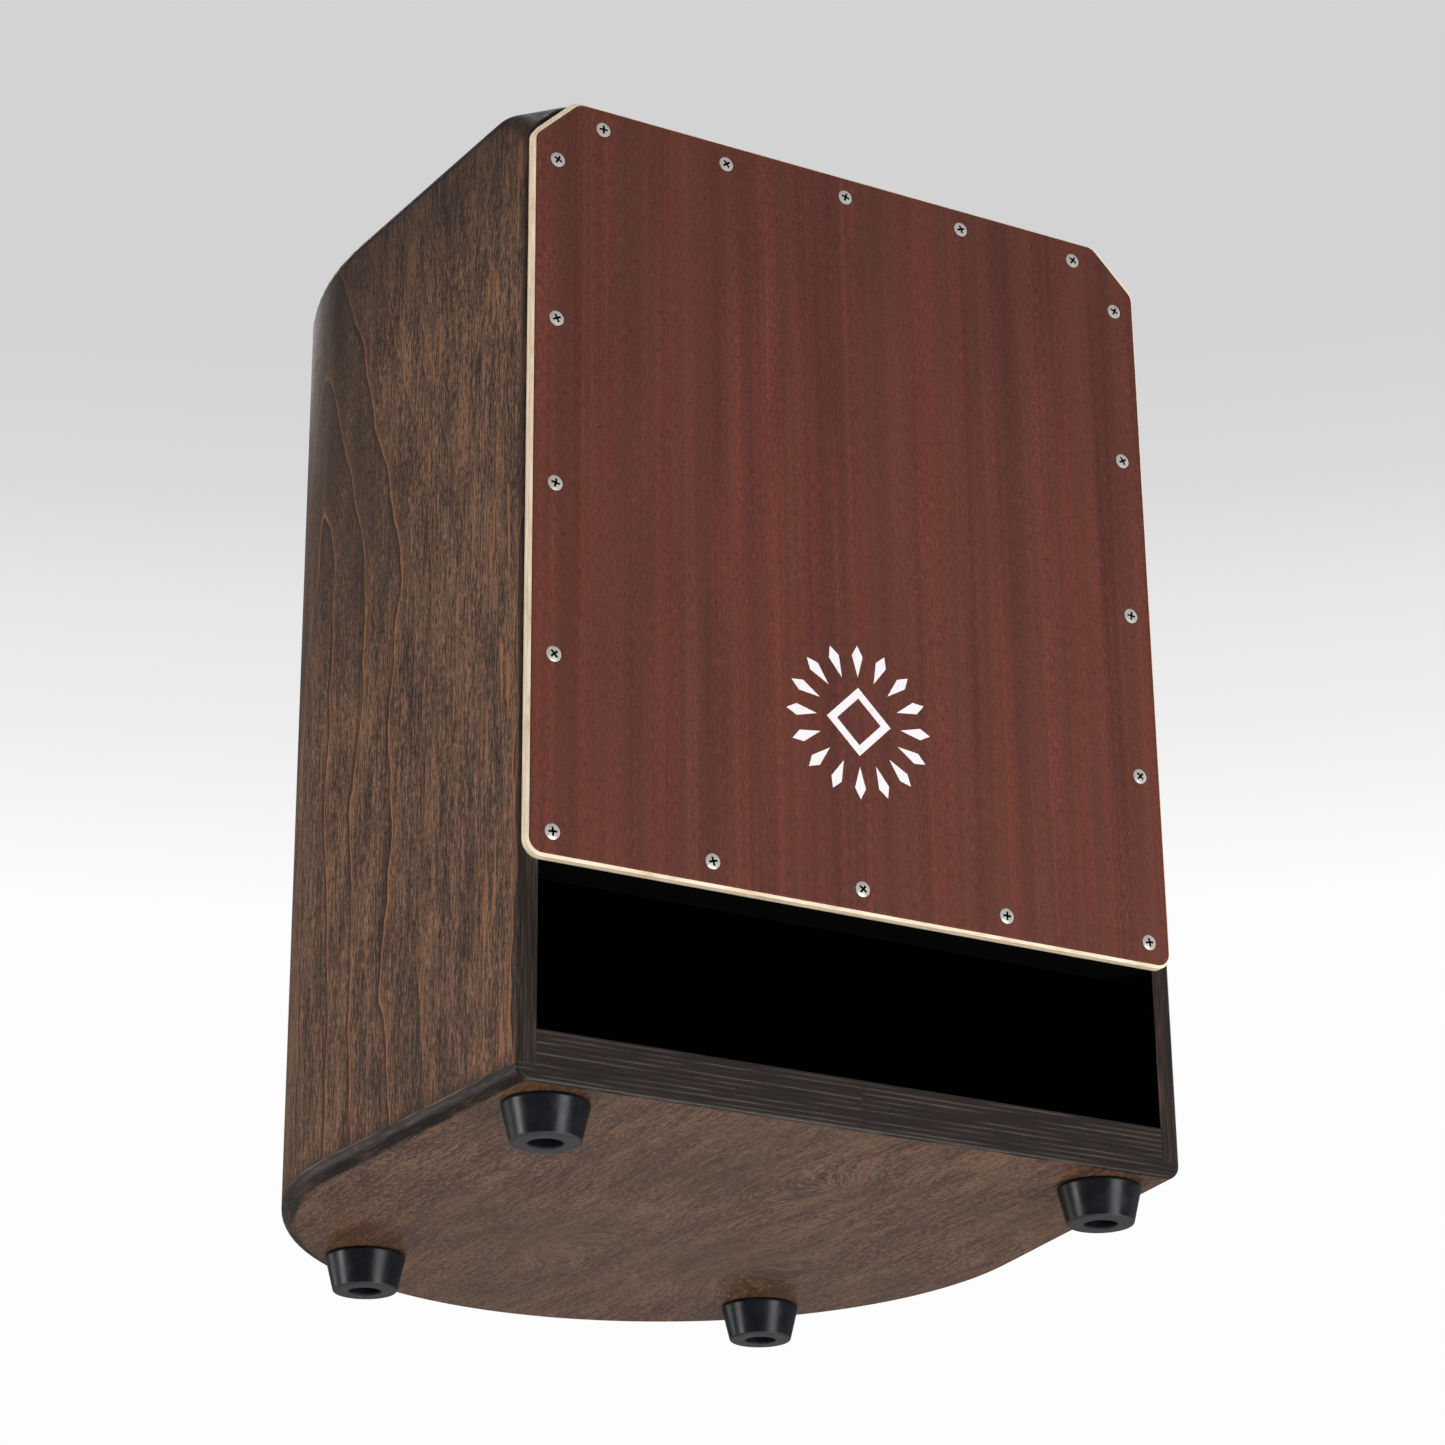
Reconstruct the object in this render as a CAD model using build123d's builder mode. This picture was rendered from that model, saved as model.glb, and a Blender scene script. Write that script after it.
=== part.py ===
from build123d import *
from math import acos, atan2, cos, hypot, radians, sin, tan
import os

# A cajon: a box drum that is sat on and played on its front.
# Millimetres. X runs across the front, +Y from the front to the back, +Z up.
# The origin is on the ground, under the middle of the bounding box.

# Driving dimensions of the body
FRONT_WIDTH = 320.0  # outside width across the two front edges
DEPTH = 350.0  # face of the tapa to the middle of the round back
BACK_RADIUS = 174.0  # outside radius of the bent back
BODY_HEIGHT = 456.0  # underside of the floor to the top of the seat
FOOT_HEIGHT = 17.0
WALL = 9.0  # bent plywood wall
PANEL = 22.0  # seat and floor plywood
LIP = 7.0  # outer layers of seat and floor that lie over the ends of the wall
EDGE_RADIUS = 6.5  # rounding along the sides and the back, top and bottom
FRONT_EDGE_RADIUS = 1.5  # slight rounding of the edges round the front opening
CORNER_CLIP = 19.5  # how far each front top corner is cut back, across and down
CORNER_CLIP_DEPTH = 22.0  # how far that cut runs back along the seat
CORNER_CLIP_RADIUS = 15.0

# Driving dimensions of the tapa, the playing surface
TAPA_WIDTH = 317.4
TAPA_TOP_GAP = 1.0  # the seat stands this much above the tapa
TAPA_BOTTOM = 111.4  # height of its lower edge, the top of the sound port
TAPA_CORE = 4.6
TAPA_VENEER = 0.5
TAPA_CLIP = 20.5
TAPA_CLIP_RADIUS = 8.0
TAPA_CORNER_RADIUS = 7.5
TAPA_BEVEL = 1.7  # sanded through the veneer, so a line of the pale core shows all round
TAPA_CLIP_BEVEL = 3.1  # the two clipped corners are sanded further back

# Frame behind the tapa
BATTEN = 20.0  # width and depth of the side battens, and depth of the rail
RAIL_HEIGHT = 22.0

# Tapa screws: 3.5 mm raised countersunk wood screws
SCREW_COLUMN_X = 147.0
SCREW_BOTTOM_Z = 122.4
SCREW_PITCH_Z = 79.2
SCREWS_PER_COLUMN = 5
SCREW_TOP_Z = 460.8
SCREW_TOP_PITCH = 62.3
SCREW_BOTTOM_PITCH = 72.5
SCREW_HEAD_RADIUS = 3.5
SCREW_HEAD_RIM = 0.25  # straight rim of the head
SCREW_HEAD_DOME = 0.45  # how far the middle of the head stands above its rim
SCREW_SUNK = 0.15  # depth of the top of the rim below the veneer's face
SCREW_HEAD_ANGLE = 82.0  # degrees, across the cone
SCREW_RADIUS = 1.75
SCREW_LENGTH = 22.0
SCREW_POINT = 4.0
CROSS_LENGTH = 4.2
CROSS_WIDTH = 1.05
CROSS_DEPTH = 1.5
CROSS_TAPER = 14.0  # degrees
SCREW_TURN = 37.0  # degrees that the cross is turned from one screw to the next
HOLE_CLEARANCE = 0.05

# Rubber feet
FOOT_TOP_RADIUS = 18.7
FOOT_BOTTOM_RADIUS = 14.6
FOOT_RECESS_RADIUS = 7.6
FOOT_RECESS_DEPTH = 11.0
FOOT_BOTTOM_ROUNDING = 1.2
FOOT_TOP_ROUNDING = 1.4
FRONT_FOOT_X = 134.3
FRONT_FOOT_FROM_FACE = 30.0
BACK_FOOT_X = 103.9
BACK_FOOT_FROM_FACE = 277.9
FOOT_SCREW_RADIUS = 2.25
FOOT_SCREW_HEAD_RADIUS = 4.2
FOOT_SCREW_HEAD_HEIGHT = 2.8
FOOT_SCREW_LENGTH = 22.0
FOOT_SCREW_POINT = 1.8
WASHER_RADIUS = 6.4
WASHER_THICKNESS = 1.2

# Snare set, fixed behind the upper half of the tapa
SNARE_BAR_Z = 385.0  # underside of the bar
SNARE_BAR_HEIGHT = 30.0
SNARE_BAR_DEPTH = 12.0
SNARE_BAR_END_GAP = 2.0
SNARE_PLATE_WIDTH = 60.0
SNARE_PLATE_THICKNESS = 1.0
SNARE_PLATE_DROP = 14.0
SNARE_SET_X = 52.0  # middle of each of the two sets
STRAND_RADIUS = 0.9
STRAND_PITCH = 5.2
STRANDS_PER_SET = 10
STRAND_LENGTH = 160.0
SMALL_SCREW_RADIUS = 1.5
SMALL_SCREW_HEAD_RADIUS = 2.9
SMALL_SCREW_HEAD_HEIGHT = 1.8
SMALL_SCREW_LENGTH = 16.0
SMALL_SCREW_POINT = 1.2

# Printed emblem: an open diamond inside a burst of kite-shaped rays
EMBLEM_Z = 199.5
EMBLEM_RADIUS = 36.0
EMBLEM_THICKNESS = 0.1
EMBLEM_RAYS = 16
RAY_LENGTH = 15.0
RAY_WIDTH = 5.4
DIAMOND_SIZE = 16.0  # middle to point
DIAMOND_LINE = 5.0  # how much smaller the open middle is, middle to point

# Positions worked out from the sizes above
TAPA_THICKNESS = TAPA_CORE + TAPA_VENEER
TAPA_FACE_Y = -DEPTH / 2
FRONT_Y = TAPA_FACE_Y + TAPA_THICKNESS
BACK_CENTRE_Y = DEPTH / 2 - BACK_RADIUS
SEAT_TOP_Z = FOOT_HEIGHT + BODY_HEIGHT
SEAT_UNDERSIDE_Z = SEAT_TOP_Z - PANEL
FLOOR_TOP_Z = FOOT_HEIGHT + PANEL
TAPA_TOP = SEAT_TOP_Z - TAPA_TOP_GAP
HALF_FRONT = FRONT_WIDTH / 2
BACK_RUN = BACK_CENTRE_Y - FRONT_Y
TAPER = atan2(BACK_RUN, HALF_FRONT) - acos(BACK_RADIUS / hypot(HALF_FRONT, BACK_RUN))
INNER_HALF_FRONT = HALF_FRONT - WALL / cos(TAPER)
BATTEN_BACK_Y = FRONT_Y + BATTEN
SCREW_CONE_SLOPE = tan(radians(SCREW_HEAD_ANGLE / 2))
SCREW_RIM_BOTTOM = -SCREW_SUNK - SCREW_HEAD_RIM
SCREW_HEAD_TOP = SCREW_HEAD_DOME - SCREW_SUNK
SCREW_HEAD_BOTTOM = SCREW_RIM_BOTTOM - (SCREW_HEAD_RADIUS - SCREW_RADIUS) / SCREW_CONE_SLOPE
COUNTERSINK_RADIUS = SCREW_HEAD_RADIUS + HOLE_CLEARANCE - SCREW_RIM_BOTTOM * SCREW_CONE_SLOPE

FRONT_FEET = [(x, TAPA_FACE_Y + FRONT_FOOT_FROM_FACE) for x in (-FRONT_FOOT_X, FRONT_FOOT_X)]
BACK_FEET = [(x, TAPA_FACE_Y + BACK_FOOT_FROM_FACE) for x in (-BACK_FOOT_X, BACK_FOOT_X)]
FEET = FRONT_FEET + BACK_FEET
FOOT_NAMES = ["foot_front_left", "foot_front_right", "foot_back_left", "foot_back_right"]

COLUMN_HEIGHTS = [SCREW_BOTTOM_Z + SCREW_PITCH_Z * row for row in range(SCREWS_PER_COLUMN)]
TOP_SCREWS = [(SCREW_TOP_PITCH * place, SCREW_TOP_Z) for place in (-2, -1, 0, 1, 2)]
LEFT_SCREWS = [(-SCREW_COLUMN_X, z) for z in COLUMN_HEIGHTS]
RIGHT_SCREWS = [(SCREW_COLUMN_X, z) for z in COLUMN_HEIGHTS]
BOTTOM_SCREWS = [(SCREW_BOTTOM_PITCH * place, SCREW_BOTTOM_Z) for place in (-1, 0, 1)]
TAPA_SCREWS = TOP_SCREWS + LEFT_SCREWS + RIGHT_SCREWS + BOTTOM_SCREWS

# Planes that look at the front: local x is X, local y is Z, and local z points out of the drum
FACE_PLANE = Plane(origin=(0, TAPA_FACE_Y, 0), x_dir=(1, 0, 0), z_dir=(0, -1, 0))
FRONT_PLANE = FACE_PLANE.offset(-TAPA_THICKNESS)

os.makedirs("parts", exist_ok=True)


def save(part, name):
    """Labels a finished piece and writes it as its own STEP file."""
    part.label = name
    export_step(part, f"parts/{name}.step")


def draw_plan(inset):
    """Draws the body's plan, moved in by inset, into the active BuildLine."""
    radius = BACK_RADIUS - inset
    front_x = HALF_FRONT - inset / cos(TAPER)
    tangent_x = radius * cos(TAPER)
    tangent_y = BACK_CENTRE_Y - radius * sin(TAPER)
    Polyline((-tangent_x, tangent_y), (-front_x, FRONT_Y), (front_x, FRONT_Y), (tangent_x, tangent_y))
    ThreePointArc((tangent_x, tangent_y), (0, BACK_CENTRE_Y + radius), (-tangent_x, tangent_y))


# The glued-up body as one block. Its two front top corners are clipped and its edges are rounded
# after assembly, so every body piece below is trimmed to this shape.
with BuildPart() as finished_block:
    with BuildSketch(Plane.XY.offset(FOOT_HEIGHT)):
        with BuildLine():
            draw_plan(0)
        make_face()
    extrude(amount=BODY_HEIGHT)
    for side in (-1, 1):
        edge_x = side * (HALF_FRONT + CORNER_CLIP_DEPTH * sin(TAPER))
        low = Vector(side * HALF_FRONT, FRONT_Y, SEAT_TOP_Z - CORNER_CLIP)
        across = Vector(side * (HALF_FRONT - CORNER_CLIP), FRONT_Y, SEAT_TOP_Z)
        back = Vector(edge_x, FRONT_Y + CORNER_CLIP_DEPTH, SEAT_TOP_Z)
        outward = (across - low).cross(back - low).normalized()
        if outward.Z < 0:
            outward = outward * -1
        split(bisect_by=Plane(origin=low, z_dir=outward), keep=Keep.BOTTOM)
        facet = finished_block.faces().sort_by(lambda face: face.normal_at().dot(outward))[-1]
        facet_edges = [edge for edge in facet.edges() if edge.center().Y > FRONT_Y + 0.01]
        fillet(facet_edges, radius=CORNER_CLIP_RADIUS)
    for rim in (finished_block.faces().sort_by(Axis.Z)[0], finished_block.faces().sort_by(Axis.Z)[-1]):
        rim_edges = [edge for edge in rim.edges() if edge.center().Y > FRONT_Y + 0.01]
        fillet(rim_edges, radius=EDGE_RADIUS)
    front_face = finished_block.faces().sort_by(Axis.Y)[0]
    fillet(front_face.edges(), radius=FRONT_EDGE_RADIUS)

with BuildPart() as body_shell:
    with BuildSketch(Plane.XY.offset(FOOT_HEIGHT + LIP)):
        with BuildLine():
            draw_plan(0)
        make_face()
        with BuildLine():
            draw_plan(WALL)
        make_face(mode=Mode.SUBTRACT)
    extrude(amount=BODY_HEIGHT - 2 * LIP)
    add(finished_block.part, mode=Mode.INTERSECT)
save(body_shell.part, "body_shell")

# Seat and floor: multi-layer panels with a rebate that drops inside the wall and a lip that covers it
with BuildPart() as seat_panel:
    with BuildSketch(Plane.XY.offset(SEAT_UNDERSIDE_Z)):
        with BuildLine():
            draw_plan(WALL)
        make_face()
    extrude(amount=PANEL - LIP)
    with BuildSketch(Plane.XY.offset(SEAT_TOP_Z - LIP)):
        with BuildLine():
            draw_plan(0)
        make_face()
    extrude(amount=LIP)
    add(finished_block.part, mode=Mode.INTERSECT)
    with Locations(FRONT_PLANE):
        with Locations(*TOP_SCREWS):
            Hole(SCREW_RADIUS + HOLE_CLEARANCE, depth=SCREW_LENGTH)
save(seat_panel.part, "seat_panel")

with BuildPart() as floor_panel:
    with BuildSketch(Plane.XY.offset(FOOT_HEIGHT)):
        with BuildLine():
            draw_plan(0)
        make_face()
    extrude(amount=LIP)
    with BuildSketch(Plane.XY.offset(FOOT_HEIGHT + LIP)):
        with BuildLine():
            draw_plan(WALL)
        make_face()
    extrude(amount=PANEL - LIP)
    add(finished_block.part, mode=Mode.INTERSECT)
    with Locations(Plane(origin=(0, 0, FOOT_HEIGHT), x_dir=(1, 0, 0), z_dir=(0, 0, -1))):
        with Locations(*[(x, -y) for x, y in FEET]):
            Hole(FOOT_SCREW_RADIUS + HOLE_CLEARANCE, depth=FOOT_SCREW_LENGTH)
save(floor_panel.part, "floor_panel")

# Frame that the tapa is screwed to, glued inside the wall
with BuildPart() as lower_tapa_rail:
    with BuildSketch(Plane.XY.offset(TAPA_BOTTOM)):
        with BuildLine():
            draw_plan(WALL)
        make_face()
        split(bisect_by=Plane(origin=(0, BATTEN_BACK_Y, 0), z_dir=(0, -1, 0)))
    extrude(amount=RAIL_HEIGHT)
    with Locations(FRONT_PLANE):
        with Locations(*BOTTOM_SCREWS, LEFT_SCREWS[0], RIGHT_SCREWS[0]):
            Hole(SCREW_RADIUS + HOLE_CLEARANCE, depth=BATTEN)
save(lower_tapa_rail.part, "lower_tapa_rail")

for side, name, screws in ((-1, "left_tapa_batten", LEFT_SCREWS), (1, "right_tapa_batten", RIGHT_SCREWS)):
    with BuildPart() as tapa_batten:
        with BuildSketch(Plane.XY.offset(TAPA_BOTTOM + RAIL_HEIGHT)):
            with BuildLine():
                draw_plan(WALL)
            make_face()
            split(bisect_by=Plane(origin=(0, BATTEN_BACK_Y, 0), z_dir=(0, -1, 0)))
            split(bisect_by=Plane(origin=(side * (INNER_HALF_FRONT - BATTEN), 0, 0), z_dir=(side, 0, 0)))
        extrude(amount=SEAT_UNDERSIDE_Z - TAPA_BOTTOM - RAIL_HEIGHT)
        with Locations(FRONT_PLANE):
            with Locations(*screws[1:]):
                Hole(SCREW_RADIUS + HOLE_CLEARANCE, depth=BATTEN)
        bar_holes = [(side * (INNER_HALF_FRONT - BATTEN / 2), SNARE_BAR_Z + SNARE_BAR_HEIGHT / 2)]
        with Locations(Plane(origin=(0, BATTEN_BACK_Y, 0), x_dir=(1, 0, 0), z_dir=(0, -1, 0))):
            with Locations(*bar_holes):
                Hole(SMALL_SCREW_RADIUS + HOLE_CLEARANCE, depth=BATTEN)
    save(tapa_batten.part, name)

# Tapa: a plywood core faced with a decorative veneer, shaped and drilled as one board
def draw_tapa(inset, clip_inset):
    """Draws the tapa into the active BuildLine, moved in by inset, and at its clips by clip_inset."""
    side = TAPA_WIDTH / 2 - inset
    top, bottom = TAPA_TOP - inset, TAPA_BOTTOM + inset
    clip = TAPA_CLIP + clip_inset * 2**0.5 - 2 * inset
    corners = [(-side, bottom), (side, bottom), (side, top - clip), (side - clip, top),
               (clip - side, top), (-side, top - clip)]
    corner_radii = [TAPA_CORNER_RADIUS - inset] * 2 + [TAPA_CLIP_RADIUS - inset] * 4
    FilletPolyline(*corners, radius=corner_radii, close=True)


with BuildPart() as tapa_board:
    for depth, insets in ((0, (TAPA_BEVEL, TAPA_CLIP_BEVEL)), (TAPA_BEVEL, (0, 0))):
        with BuildSketch(FACE_PLANE.offset(-depth)):
            with BuildLine():
                draw_tapa(*insets)
            make_face()
    loft(ruled=True)
    with BuildSketch(FACE_PLANE.offset(-TAPA_BEVEL)):
        with BuildLine():
            draw_tapa(0, 0)
        make_face()
    extrude(amount=TAPA_BEVEL - TAPA_THICKNESS)
    with Locations(FACE_PLANE):
        with Locations(*TAPA_SCREWS):
            CounterSinkHole(
                radius=SCREW_RADIUS + HOLE_CLEARANCE,
                counter_sink_radius=COUNTERSINK_RADIUS,
                counter_sink_angle=SCREW_HEAD_ANGLE,
            )

with BuildPart() as tapa_face_veneer:
    add(tapa_board.part)
    split(bisect_by=FACE_PLANE.offset(-TAPA_VENEER), keep=Keep.TOP)
save(tapa_face_veneer.part, "tapa_face_veneer")

with BuildPart() as tapa_core:
    add(tapa_board.part)
    split(bisect_by=FACE_PLANE.offset(-TAPA_VENEER), keep=Keep.BOTTOM)
save(tapa_core.part, "tapa_core")

# White emblem printed low on the tapa
with BuildPart() as front_emblem:
    with BuildSketch(FACE_PLANE):
        with Locations((0, EMBLEM_Z)):
            with PolarLocations(EMBLEM_RADIUS - RAY_LENGTH / 2, EMBLEM_RAYS):
                Polygon((-RAY_LENGTH / 2, 0), (RAY_LENGTH / 6, -RAY_WIDTH / 2), (RAY_LENGTH / 2, 0),
                        (RAY_LENGTH / 6, RAY_WIDTH / 2), align=None)
            for size, mode in ((DIAMOND_SIZE, Mode.ADD), (DIAMOND_SIZE - DIAMOND_LINE, Mode.SUBTRACT)):
                Polygon((size, 0), (0, size), (-size, 0), (0, -size), mode=mode)
    extrude(amount=EMBLEM_THICKNESS)
save(front_emblem.part, "front_emblem")

# One tapa screw, on the face plane: a domed countersunk head with a cross recess, a shank and a point
with BuildPart() as tapa_screw:
    with BuildSketch(Plane.XZ):
        with BuildLine():
            Polyline(
                (SCREW_HEAD_RADIUS, -SCREW_SUNK),
                (SCREW_HEAD_RADIUS, SCREW_RIM_BOTTOM),
                (SCREW_RADIUS, SCREW_HEAD_BOTTOM),
                (SCREW_RADIUS, SCREW_POINT - SCREW_LENGTH),
                (0, -SCREW_LENGTH),
                (0, SCREW_HEAD_TOP),
            )
            dome_middle = (SCREW_HEAD_RADIUS / 2, SCREW_HEAD_TOP - SCREW_HEAD_DOME / 4)
            ThreePointArc((0, SCREW_HEAD_TOP), dome_middle, (SCREW_HEAD_RADIUS, -SCREW_SUNK))
        make_face()
    revolve(axis=Axis.Z)
    with BuildSketch(Plane.XY.offset(SCREW_HEAD_TOP)):
        Rectangle(CROSS_LENGTH, CROSS_WIDTH)
        Rectangle(CROSS_WIDTH, CROSS_LENGTH)
    extrude(amount=-CROSS_DEPTH, taper=CROSS_TAPER, mode=Mode.SUBTRACT)

for name, places in (
    ("tapa_screws_top", TOP_SCREWS),
    ("tapa_screws_left", LEFT_SCREWS),
    ("tapa_screws_right", RIGHT_SCREWS),
    ("tapa_screws_bottom", BOTTOM_SCREWS),
):
    with BuildPart(FACE_PLANE) as screw_row:
        for place in places:
            with Locations(Location((*place, 0), (0, 0, SCREW_TURN * TAPA_SCREWS.index(place)))):
                add(tapa_screw.part)
    save(screw_row.part, name)

# Rubber feet: tapered bumpers, each held by a washer and a screw in its recess
for name, (x, y) in zip(FOOT_NAMES, FEET):
    with BuildPart() as foot:
        with BuildSketch(Plane.XZ):
            with BuildLine():
                Polyline(
                    (0, FOOT_RECESS_DEPTH),
                    (FOOT_RECESS_RADIUS, FOOT_RECESS_DEPTH),
                    (FOOT_RECESS_RADIUS, 0),
                    (FOOT_BOTTOM_RADIUS, 0),
                    (FOOT_TOP_RADIUS, FOOT_HEIGHT),
                    (0, FOOT_HEIGHT),
                    close=True,
                )
            make_face()
        revolve(axis=Axis.Z)
        rims = foot.edges().filter_by(GeomType.CIRCLE)
        fillet(rims.group_by(Axis.Z)[-1], radius=FOOT_TOP_ROUNDING)
        fillet(rims.group_by(Axis.Z)[0].sort_by(SortBy.RADIUS)[-1], radius=FOOT_BOTTOM_ROUNDING)
        Hole(FOOT_SCREW_RADIUS + HOLE_CLEARANCE)
    save(Pos(x, y, 0) * foot.part, name)

with BuildPart() as foot_washers:
    with BuildSketch(Plane.XY.offset(FOOT_RECESS_DEPTH)):
        with Locations(*FEET):
            Circle(WASHER_RADIUS)
            Circle(FOOT_SCREW_RADIUS + HOLE_CLEARANCE, mode=Mode.SUBTRACT)
    extrude(amount=-WASHER_THICKNESS)
save(foot_washers.part, "foot_washers")

foot_screw_seat = FOOT_RECESS_DEPTH - WASHER_THICKNESS
with BuildPart() as foot_screws:
    with BuildSketch(Plane.XY.offset(foot_screw_seat)):
        with Locations(*FEET):
            Circle(FOOT_SCREW_HEAD_RADIUS)
    extrude(amount=-FOOT_SCREW_HEAD_HEIGHT)
    fillet(foot_screws.edges().group_by(Axis.Z)[0], radius=FOOT_SCREW_HEAD_HEIGHT / 2)
    with BuildSketch(Plane.XY.offset(foot_screw_seat)):
        with Locations(*FEET):
            Circle(FOOT_SCREW_RADIUS)
    extrude(amount=FOOT_SCREW_LENGTH)
    chamfer(foot_screws.edges().group_by(Axis.Z)[-1], length=FOOT_SCREW_POINT)
    with BuildSketch(Plane.XY.offset(foot_screw_seat - FOOT_SCREW_HEAD_HEIGHT)):
        with Locations(*FEET):
            Rectangle(CROSS_LENGTH, CROSS_WIDTH)
            Rectangle(CROSS_WIDTH, CROSS_LENGTH)
    extrude(amount=CROSS_DEPTH, mode=Mode.SUBTRACT)
save(foot_screws.part, "foot_screws")

# Snare set: a wooden bar across the battens, with two fans of strands that lie against the tapa
bar_back_y = BATTEN_BACK_Y + SNARE_BAR_DEPTH
bar_end_x = INNER_HALF_FRONT - SNARE_BAR_END_GAP
bar_middle_z = SNARE_BAR_Z + SNARE_BAR_HEIGHT / 2
bar_screws = [(side * (INNER_HALF_FRONT - BATTEN / 2), bar_middle_z) for side in (-1, 1)]
plate_screws = [(side * SNARE_SET_X + reach, BATTEN_BACK_Y + SNARE_BAR_DEPTH / 2)
                for side in (-1, 1) for reach in (-SNARE_PLATE_WIDTH / 3, SNARE_PLATE_WIDTH / 3)]
BAR_BACK_PLANE = Plane(origin=(0, bar_back_y, 0), x_dir=(-1, 0, 0), z_dir=(0, 1, 0))
UNDER_BAR_PLANE = Plane(origin=(0, 0, SNARE_BAR_Z), x_dir=(1, 0, 0), z_dir=(0, 0, -1))

with BuildPart() as snare_bar:
    with BuildSketch(Plane.XY.offset(SNARE_BAR_Z)):
        with Locations((0, BATTEN_BACK_Y + SNARE_BAR_DEPTH / 2)):
            Rectangle(2 * bar_end_x, SNARE_BAR_DEPTH)
    extrude(amount=SNARE_BAR_HEIGHT)
    with Locations(BAR_BACK_PLANE):
        with Locations(*bar_screws):
            Hole(SMALL_SCREW_RADIUS + HOLE_CLEARANCE)
    with Locations(UNDER_BAR_PLANE):
        with Locations(*[(x, -y) for x, y in plate_screws]):
            Hole(SMALL_SCREW_RADIUS + HOLE_CLEARANCE, depth=SMALL_SCREW_LENGTH)
save(snare_bar.part, "snare_bar")

strand_y = FRONT_Y + STRAND_RADIUS + 2 * HOLE_CLEARANCE
plate_front_y = strand_y + STRAND_RADIUS
for side, name in ((-1, "left"), (1, "right")):
    with BuildPart() as snare_plate:
        with BuildSketch(Plane.YZ.offset(side * SNARE_SET_X - SNARE_PLATE_WIDTH / 2)):
            with BuildLine():
                Polyline(
                    (bar_back_y, SNARE_BAR_Z),
                    (plate_front_y, SNARE_BAR_Z),
                    (plate_front_y, SNARE_BAR_Z - SNARE_PLATE_DROP),
                    (plate_front_y + SNARE_PLATE_THICKNESS, SNARE_BAR_Z - SNARE_PLATE_DROP),
                    (plate_front_y + SNARE_PLATE_THICKNESS, SNARE_BAR_Z - SNARE_PLATE_THICKNESS),
                    (bar_back_y, SNARE_BAR_Z - SNARE_PLATE_THICKNESS),
                    close=True,
                )
            make_face()
        extrude(amount=SNARE_PLATE_WIDTH)
        with Locations(UNDER_BAR_PLANE.offset(SNARE_PLATE_THICKNESS)):
            with Locations(*[(x, -y) for x, y in plate_screws if x * side > 0]):
                Hole(SMALL_SCREW_RADIUS + HOLE_CLEARANCE, depth=SNARE_PLATE_THICKNESS)
    save(snare_plate.part, f"snare_plate_{name}")

    with BuildPart() as snare_strands:
        with BuildSketch(Plane.XY.offset(SNARE_BAR_Z - STRAND_LENGTH)):
            with Locations((side * SNARE_SET_X, strand_y)):
                with GridLocations(STRAND_PITCH, 1, STRANDS_PER_SET, 1):
                    Circle(STRAND_RADIUS)
        extrude(amount=STRAND_LENGTH)
    save(snare_strands.part, f"snare_strands_{name}")

# Small round-head screw, along its local z, with its head's underside at the origin
with BuildPart() as small_screw:
    Cylinder(SMALL_SCREW_HEAD_RADIUS, SMALL_SCREW_HEAD_HEIGHT, align=(Align.CENTER, Align.CENTER, Align.MIN))
    fillet(small_screw.edges().group_by(Axis.Z)[-1], radius=SMALL_SCREW_HEAD_HEIGHT / 2)
    Cylinder(SMALL_SCREW_RADIUS, SMALL_SCREW_LENGTH, align=(Align.CENTER, Align.CENTER, Align.MAX))
    chamfer(small_screw.edges().group_by(Axis.Z)[0], length=SMALL_SCREW_POINT)

with BuildPart(BAR_BACK_PLANE) as snare_bar_screws:
    with Locations(*bar_screws):
        add(small_screw.part)
save(snare_bar_screws.part, "snare_bar_screws")

with BuildPart(UNDER_BAR_PLANE.offset(SNARE_PLATE_THICKNESS)) as snare_plate_screws:
    with Locations(*[(x, -y) for x, y in plate_screws]):
        add(small_screw.part)
save(snare_plate_screws.part, "snare_plate_screws")
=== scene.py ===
"""The cajon's looks: camera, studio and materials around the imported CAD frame."""
import math

import bpy
from mathutils import Matrix, Vector


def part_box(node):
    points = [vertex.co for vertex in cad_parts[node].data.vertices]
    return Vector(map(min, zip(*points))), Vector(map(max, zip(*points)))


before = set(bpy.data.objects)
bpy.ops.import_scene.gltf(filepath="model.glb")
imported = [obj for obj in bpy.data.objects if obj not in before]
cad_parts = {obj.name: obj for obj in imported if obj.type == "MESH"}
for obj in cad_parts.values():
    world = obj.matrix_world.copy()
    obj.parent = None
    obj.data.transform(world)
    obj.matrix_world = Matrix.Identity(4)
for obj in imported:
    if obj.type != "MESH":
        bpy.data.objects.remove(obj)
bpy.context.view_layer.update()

MM = 0.001

# Sizes read from the frame, in metres
SHELL_LOW, SHELL_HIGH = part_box("body_shell")
SEAT_TOP_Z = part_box("seat_panel")[1].z
FLOOR_UNDERSIDE_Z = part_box("floor_panel")[0].z
TAPA_FACE_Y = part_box("tapa_face_veneer")[0].y
CORE_FACE_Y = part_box("tapa_core")[0].y
FRONT_Y = SHELL_LOW.y
BACK_RADIUS = SHELL_HIGH.x
BACK_CENTRE_Y = SHELL_HIGH.y - BACK_RADIUS
LIP = SHELL_LOW.z - FLOOR_UNDERSIDE_Z

# Sizes of the part that no box says
WALL = 9 * MM
HALF_FRONT = 160 * MM
CORNER_CLIP = 19.5 * MM
CORNER_CLIP_DEPTH = 22 * MM

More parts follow.
